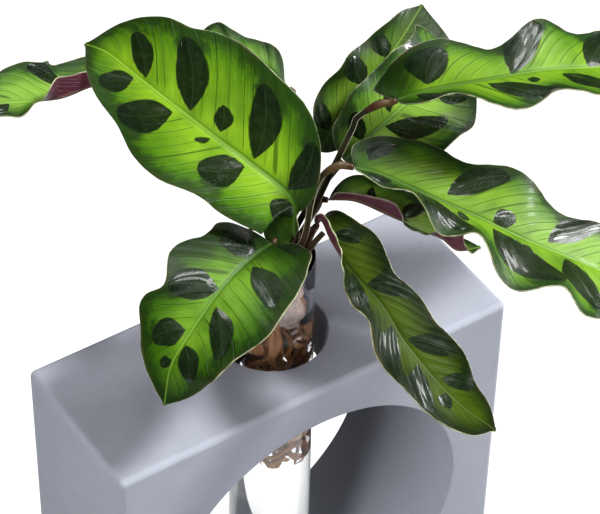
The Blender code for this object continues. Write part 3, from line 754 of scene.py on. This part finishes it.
leaves["back_left"] = dict(
    slot=(-0.75, 2), look="fresh", cream=0.7, petiole=[(9.6, 10.8, 191.5), (15, 16, 198), (25, 31, 206)],
    midrib=[(37, 48, 216), (34, 59, 221), (27, 72, 223), (18, 81, 221)],
    left=(8, 10, 11, 12, 12, 11, 10, 9, 6),
    right=(2.5, 5.5, 7.5, 8, 8, 7, 7.5, 10, 8),
    waveLeft=(1, 2.2, 0.2), waveRight=(1.2, 2.2, 0.6), border=(3, 3.6),
    spots=[(.22, -.10, .34, -.75, 6), (.52, -.10, .64, -.75, 6)],
    dusk=[(.05, 0, 7, .5), (.7, .9, 9, .5)])
stub = dict(slot=(0.5, -2.0), route=[(10.8, -4.5, 192.3), (13.4, -4.9, 196.5), (17, -5.6, 200.5)])
blade = dict(rows=150, columns=76, spine=60, thick=0.4, leastHalf=0.7, veinLean=0.19, veinSpan=5.2,
             quilt=0.07, bulge=0.30, bulgeRise=4.0, bulgeReach=3.5, groove=0.5, grooveReach=1.1,
             lobeReach=0.3, lobeWidth=8, spotBow=0.07, farFromSpots=(-30.0, 9.0))
greens = dict(                         # lime, leafy and dark green
    bright=((0.215, 0.405, 0.014), (0.068, 0.190, 0.004), (0.014, 0.040, 0.005)),
    ripe=((0.155, 0.310, 0.012), (0.050, 0.140, 0.004), (0.011, 0.033, 0.005)),
    deep=((0.120, 0.260, 0.012), (0.034, 0.105, 0.003), (0.009, 0.026, 0.003)),
    # very dark greens for a leaf lying under others: painted shade over its own olive tone
    olive=((0.043, 0.076, 0.002), (0.015, 0.031, 0.001), (0.006, 0.013, 0.002)),
    shade=((0.110, 0.215, 0.014), (0.038, 0.095, 0.006), (0.011, 0.028, 0.005)),
    fresh=((0.225, 0.420, 0.045), (0.078, 0.195, 0.016), (0.016, 0.046, 0.010)))


def halfWidth(widths, t):              # round at the base and pointed at the tip
    listed = [0.0, *map(float, widths), 0.0]
    place = t * (len(listed) - 1)
    rounded = sqrt(max(curveThrough([w * w for w in listed], place), 0.0))
    pointed = max(curveThrough(listed, place), 0.0)
    return max(rounded * (1 - t) + pointed * t, blade["leastHalf"])


def rowAt(leaf, spine, t):             # what one crosswise row of the blade needs
    steps = len(spine) - 1
    here = curveThrough(spine, t * steps)
    ahead = curveThrough(spine, min(t + 0.01, 1.0) * steps)
    behind = curveThrough(spine, max(t - 0.01, 0.0) * steps)
    along = (ahead - behind).normalized()
    side = along.cross(up).normalized()
    side = Matrix.Rotation(-radians(eased(leaf["roll"], t)), 3, along) @ side
    reach = {-1: halfWidth(leaf["left"], t), 1: halfWidth(leaf["right"], t)}
    fold = {-1: radians(eased(leaf["foldLeft"], t)), 1: radians(eased(leaf["foldRight"], t))}
    return dict(here=here, along=along, side=side, face=side.cross(along), reach=reach, fold=fold)


def onBlade(leaf, length, t, across):  # a place on the flattened blade, in millimetres
    return Vector((t * length, across * halfWidth(leaf["left" if across < 0 else "right"], t)))


def spotBars(leaf, length):            # each spot's start, heading, length and width
    bars = []
    for startT, startAcross, endT, endAcross, width in leaf["spots"]:
        start = onBlade(leaf, length, startT, startAcross)
        span = onBlade(leaf, length, endT, endAcross) - start
        bars.append((start, span.normalized(), span.length, width))
    return bars


def spotAt(bars, place):               # how deep in the nearest spot, and how far off its axis
    best, offAxis = blade["farFromSpots"]
    for start, aim, span, width in bars:
        offset = place - start
        p = offset.dot(aim) / span
        off = offset.cross(aim)
        if 0 < p < 1:
            off += blade["spotBow"] * span * 4 * p * (1 - p) * (1 if aim.y > 0 else -1)
            depth = width / 2 * sin(pi * p) ** (0.95 - 0.55 * p) - abs(off)
        else:
            depth = -hypot(max(-p, p - 1, 0) * span, off)
        if depth > best:
            best, offAxis = depth, off
    return best, offAxis


# painted shade: how dark the listed darker patches make each place on the flattened blade
def paintedShadeAt(leaf, length, place):
    shades = [strength * hump((place - onBlade(leaf, length, t, across)).length, reach)
              for t, across, reach, strength in leaf["dusk"]]
    return max(0.0, *shades)


def liftAt(leaf, t, across, off, vein, depth, offAxis):    # how far a place stands off a plain blade
    height, count, phase = leaf["waveLeft" if across < 0 else "waveRight"]
    ends = sin(pi * min(max(t, 0.0), 1.0)) ** 0.6
    lift = height * abs(across) ** 1.8 * sin(tau * (count * t + phase)) * ends
    lift -= blade["quilt"] * cos(tau * vein / blade["veinSpan"]) * ends * rise(0, 0.2, abs(across))
    lift += blade["bulge"] * rise(0.0, blade["bulgeRise"], depth) * hump(offAxis, blade["bulgeReach"])
    return lift - blade["groove"] * (1 - 0.75 * t) * hump(off, blade["grooveReach"]) * ends


def makeBlade(name, leaf):
    spine = evenPoints(leaf["midrib"], blade["spine"])
    length = pathLength(spine)
    rows = [rowAt(leaf, spine, i / blade["rows"]) for i in range(blade["rows"] + 1)]
    bars = spotBars(leaf, length)
    bm = bmesh.new()
    bmesh.ops.create_grid(bm, x_segments=blade["rows"], y_segments=blade["columns"], size=1.0)
    place, mark, tone = (bm.verts.layers.float_vector.new(label) for label in ("place", "mark", "tone"))
    for vertex in bm.verts:
        t, across = (vertex.co.x + 1) / 2, vertex.co.y
        row = rows[round(t * blade["rows"])]
        hand, index = (-1, 0) if across < 0 else (1, 1)
        full, fold = row["reach"][hand], row["fold"][hand]
        off = full * abs(across)
        vein = (t - blade["veinLean"] * abs(across) ** 1.15) * length
        flat = Vector((t * length, off * hand))
        depth, offAxis = spotAt(bars, flat)
        lift = liftAt(leaf, t, across, off, vein, depth, offAxis)
        lobe = leaf["lobes"][index] * abs(across) ** 1.5 * max(0.0, 1 - t / blade["lobeReach"]) ** 1.5
        lobe *= min(full / blade["lobeWidth"], 1.0)
        vertex.co = (row["here"] + row["side"] * hand * off * cos(fold)
                     + row["face"] * (off * sin(fold) + lift) - row["along"] * lobe) * mm
        nearEdge = min(full - off, min(t, 1 - t) * length * 0.9 + 0.8)
        vertex[place] = (t * length, off * hand, nearEdge)
        vertex[mark] = (depth, offAxis, vein)
        # the tone's middle part is the painted shade of the listed darker patches
        vertex[tone] = (nearEdge / leaf["border"][index], paintedShadeAt(leaf, length, flat), t)
    bmesh.ops.reverse_faces(bm, faces=bm.faces)
    top = leafTop("leaf top " + name.replace("_", " "), leaf)
    piece = addPiece("leaf_" + name, bm, [top, leafUnder, leafRim], "blade_" + name)
    wall = piece.modifiers.new("leaf thickness", "SOLIDIFY")
    wall.thickness = blade["thick"] * mm
    wall.offset = 0.0
    wall.material_offset = 1
    wall.material_offset_rim = 2


def leafTop(name, leaf):
    lime, leafy, dark = greens[leaf["look"]]
    pale = tuple(min(1.0, c * 1.2 + 0.02) for c in lime)
    ribGreen = tuple(a * b + 0.012 for a, b in zip(lime, (0.40, 0.52, 1.3)))
    finish = Finish(name, Specular_IOR_Level=leaf["shine"], Coat_Roughness=0.10)
    place, mark, tone = (finish.attribute(label) for label in ("place", "mark", "tone"))
    along, off, edge = finish.parts(place)
    depth, axis, vein = finish.parts(mark)
    rim, dusk, share = finish.parts(tone)
    out = abs(off)
    side = off.rise(-0.01, 0.01) * 7.3             # so the two halves don't mirror each other
    streak = finish.noise(finish.joined(vein * 0.75, out * 0.07, side), 1.0, 4.0, 0.62)
    fine = finish.noise(finish.joined(vein * 3.2, out * 0.22, side), 1.0, 3.0, 0.6)
    cloud = finish.noise(finish.joined(along * 0.06, off * 0.06, 3.1), 1.0, 2.0)
    cell = finish.noise(place, 3.0, 2.0)
    mottle = finish.noise(place, 0.34, 4.0, 0.65)
    outward = (rim + (streak - 0.5) * 1.2).rise(0.9, 2.8)
    wander = finish.noise(finish.joined(vein * 0.23, side, 7.0), 1.0, 1.0) * 9.0
    veinGap = abs(((vein + wander) / blade["veinSpan"]).maths("FRACT") - 0.5) * blade["veinSpan"]
    veinLine = (1 - veinGap.rise(0.08, 0.34)) * streak.rise(0.25, 0.48) * out.rise(0.8, 3.0)
    outer = (out / (out + edge)).rise(0.50, 0.90)  # 0 at the midrib, 1 near the margin
    joining = depth.rise(-3.6, -0.2) * outer       # the margin runs into each spot
    reach = rim + (streak - 0.5) * 1.2 + (fine - 0.5) * 0.5 + (mottle - 0.5) * 1.0 - joining * 1.1
    margin = 1 - reach.rise(0.25, 1.25)
    # painted shade: the listed darker patches, ragged by the streaks, turn the green towards dark
    shade = (dusk + (streak - 0.5) * 0.9 * dusk.rise(0.05, 0.4)).rise(0.15, 0.85)
    ragged = depth + (streak - 0.5) * 1.1 + (fine - 0.5) * 0.9
    spot = ragged.rise(-0.22 - outer * 0.5, 0.28 + outer * 0.7)
    spotVein = (1 - abs(axis).rise(0.05, 0.30)) * depth.rise(0.2, 1.2)
    spotGreen = finish.layered((0.0055, 0.0115, 0.0045),
                               (mottle.rise(0.40, 0.75), (0.012, 0.026, 0.009)),
                               (spotVein * 0.35, (0.030, 0.060, 0.020)))
    ribWidth = 0.72 - share * 0.45
    rib = (1 - (out - ribWidth).rise(-0.25, 0.25)) * (1 - shade * 0.35)
    beside = (1 - abs(out - ribWidth - 0.2).rise(0.05, 0.40)) * (1 - share.rise(0.3, 0.8) * 0.5)
    brown = (1 - (edge + (streak - 0.5) * 2.0).rise(0.3, 1.6)) * cloud.rise(0.45, 0.7)
    cream = (1 - (edge + (fine - 0.5) * 0.2).rise(0.06, 0.24)) * mottle.rise(0.30, 0.55)
    colour = finish.layered(
        lime,
        (1 - outward * (1 - cloud.rise(0.42, 0.70) * 0.7), leafy),
        ((fine - 0.5).rise(0.0, 0.25) * 0.35, leafy),
        ((0.5 - fine).rise(0.02, 0.25) * 0.4, pale),
        (veinLine * 0.7, tuple(c * 0.30 for c in leafy)),
        (margin * 0.93, dark),
        (shade * 0.9, dark),
        (spot * 0.97, spotGreen),
        (rib * 0.8, finish.blend(share.rise(0.2, 0.7), ribGreen, pale)),
        (beside * 0.6, tuple(c * 0.5 for c in leafy)),
        (brown * 0.45, (0.07, 0.05, 0.02)),
        (cream * leaf["cream"], (0.60, 0.62, 0.38)))
    height = fine * 0.5 + cell * 0.35 + streak * 0.6 - veinLine * 0.6 - spot * 0.15
    gloss = 0.26 + fine * 0.12 + margin * 0.02 - spot * 0.15 + cell * 0.06
    wet = (spot * 0.7 + 0.05) * (fine * 0.5 + cell * 0.5).rise(0.38, 0.58) * leaf["wet"]
    return finish.paint(Base_Color=colour, Roughness=gloss, Coat_Weight=wet,
                        Normal=finish.bump(height, 0.00022, 0.8))


def underFinish():
    finish = Finish("leaf underside", Specular_IOR_Level=0.4)
    off, edge = finish.parts(finish.attribute("place"))[1:]
    vein = finish.parts(finish.attribute("mark"))[2]
    streak = finish.noise(finish.joined(vein * 0.9, abs(off) * 0.08, 5.0), 1.0, 4.0, 0.6)
    rib = 1 - abs(off).rise(0.7, 1.3)
    colour = finish.layered((0.050, 0.008, 0.016),
                            (streak.rise(0.3, 0.7), (0.125, 0.022, 0.045)),
                            (rib * 0.7, (0.16, 0.10, 0.06)),
                            ((1 - edge.rise(0.2, 0.7)) * 0.6, (0.45, 0.36, 0.28)))
    ridges = abs((vein / blade["veinSpan"] + 0.5).maths("FRACT") - 0.5)
    return finish.paint(Base_Color=colour, Roughness=0.40 + streak * 0.15,
                        Normal=finish.bump(streak * 0.6 - ridges.rise(0.0, 0.08) * 0.5 + rib, 0.0004, 0.7))


def rimFinish():
    finish = Finish("leaf edge", Specular_IOR_Level=0.4)
    wear = finish.noise(finish.objectPlace(), 260.0, 3.0)
    colour = finish.blend(wear.rise(0.40, 0.60), (0.52, 0.55, 0.32), (0.17, 0.19, 0.07))
    return finish.paint(Base_Color=colour, Roughness=0.45 + wear * 0.15)


# petioles: channelled stalks with pale wings along the channel, and a swollen joint at the blade
stalk = dict(radius=1.2, tipRadius=1.0, steps=64, sides=28, gap=0.5, leadIn=3.0, spacing=3.15,
             bundleTurn=-34.0, lean=(1.8, -0.6, 8.0), height=178.3, centre=(7.6, 1.2), swell=0.42,
             facing=(-0.40, -0.62, 0.68), wing=0.34, wingAt=0.95, wingReach=0.17, channel=0.38,
             channelReach=0.7, joint=13.0)


def bundlePlace(slot):
    column, row = slot
    turn = Matrix.Rotation(radians(stalk["bundleTurn"]), 3, "Z")
    offset = Vector((column, row * sin(radians(60)), 0)) * stalk["spacing"]
    return Vector((*stalk["centre"], stalk["height"])) + turn @ offset


def makePetiole(name, slot, route, cut=False):
    foot = bundlePlace(slot)
    steps, sides = stalk["steps"], stalk["sides"]
    spine = evenPoints([foot, foot + Vector(stalk["lean"]), *route], steps)
    length = pathLength(spine)
    facing = Vector(stalk["facing"])
    rings, wings, joints, around = [], [], [], []
    for i, centre in enumerate(spine):
        along = (spine[min(i + 1, steps)] - spine[max(i - 1, 0)]).normalized()
        front = (facing - along * facing.dot(along)).normalized()
        side = along.cross(front)
        t = i / steps
        toBlade = length * (1 - t)
        joint = 0.0 if cut else 1 - rise(stalk["joint"] * 0.6, stalk["joint"], toBlade)
        radius = stalk["radius"] + (stalk["tipRadius"] - stalk["radius"]) * t
        swelling = sin(pi * min(toBlade / stalk["joint"], 1.0))
        radius *= 1 + stalk["swell"] * joint * swelling
        ring, wingRow = [], []
        for k in range(sides):
            a = tau * k / sides
            a = a - tau if a > pi else a
            wing = 0.0 if cut else hump(abs(a) - stalk["wingAt"], stalk["wingReach"]) * (1 - joint)
            channel = hump(a, stalk["channelReach"]) * (1 - joint * 0.8)
            reach = radius * (1 + stalk["wing"] * wing - stalk["channel"] * channel)
            ring.append(centre + (front * cos(a) + side * sin(a)) * reach)
            wingRow.append(wing)
        rings.append(ring)
        wings.append(wingRow)
        joints.append([joint] * sides)
        around.append([t * length] * sides)
    bm = rolledGrid(rings, dict(wing=wings, joint=joints, reach=around))
    addPiece("stalk_" + name, bm, [petioleFinish], "petiole_" + name)


def stalkFinish():
    finish = Finish("petiole skin", Specular_IOR_Level=0.3)
    wing, joint, reach = (finish.number(label) for label in ("wing", "joint", "reach"))
    place = finish.objectPlace()
    grain = finish.noise(place, 500.0, 3.0, 0.6)
    patch = finish.noise(place, 130.0, 2.0)
    jointTone = finish.blend(patch.rise(0.4, 0.6), (0.040, 0.012, 0.005), (0.065, 0.038, 0.012))
    colour = finish.layered(
        (0.010, 0.012, 0.004),
        (patch.rise(0.35, 0.65), (0.030, 0.026, 0.009)),
        ((1 - reach.rise(8.0, 30.0)) * 0.8, (0.085, 0.027, 0.017)),      # redder near the rhizome
        (joint, jointTone),
        (grain.rise(0.5, 0.8) * 0.2, (0.11, 0.075, 0.03)),
        (wing.rise(0.55, 0.85), (0.62, 0.60, 0.42)))
    return finish.paint(Base_Color=colour, Roughness=0.38 + grain * 0.2,
                        Normal=finish.bump(grain, 0.0003, 0.6))


leafUnder = underFinish()
leafRim = rimFinish()
petioleFinish = stalkFinish()


def makeLeaves():
    for name, listed in leaves.items():
        leaf = plainLeaf | listed
        base = Vector(leaf["midrib"][0])
        along = (evenPoints(leaf["midrib"], blade["spine"])[1] - base).normalized()
        ending = [base - along * stalk["leadIn"], base - along * stalk["gap"]]
        makePetiole(name, leaf["slot"], [*leaf["petiole"], *ending])
        makeBlade(name, leaf)
        print("leaf", name, "is made")
    makePetiole("cut_stub", stub["slot"], stub["route"], cut=True)


makeLeaves()
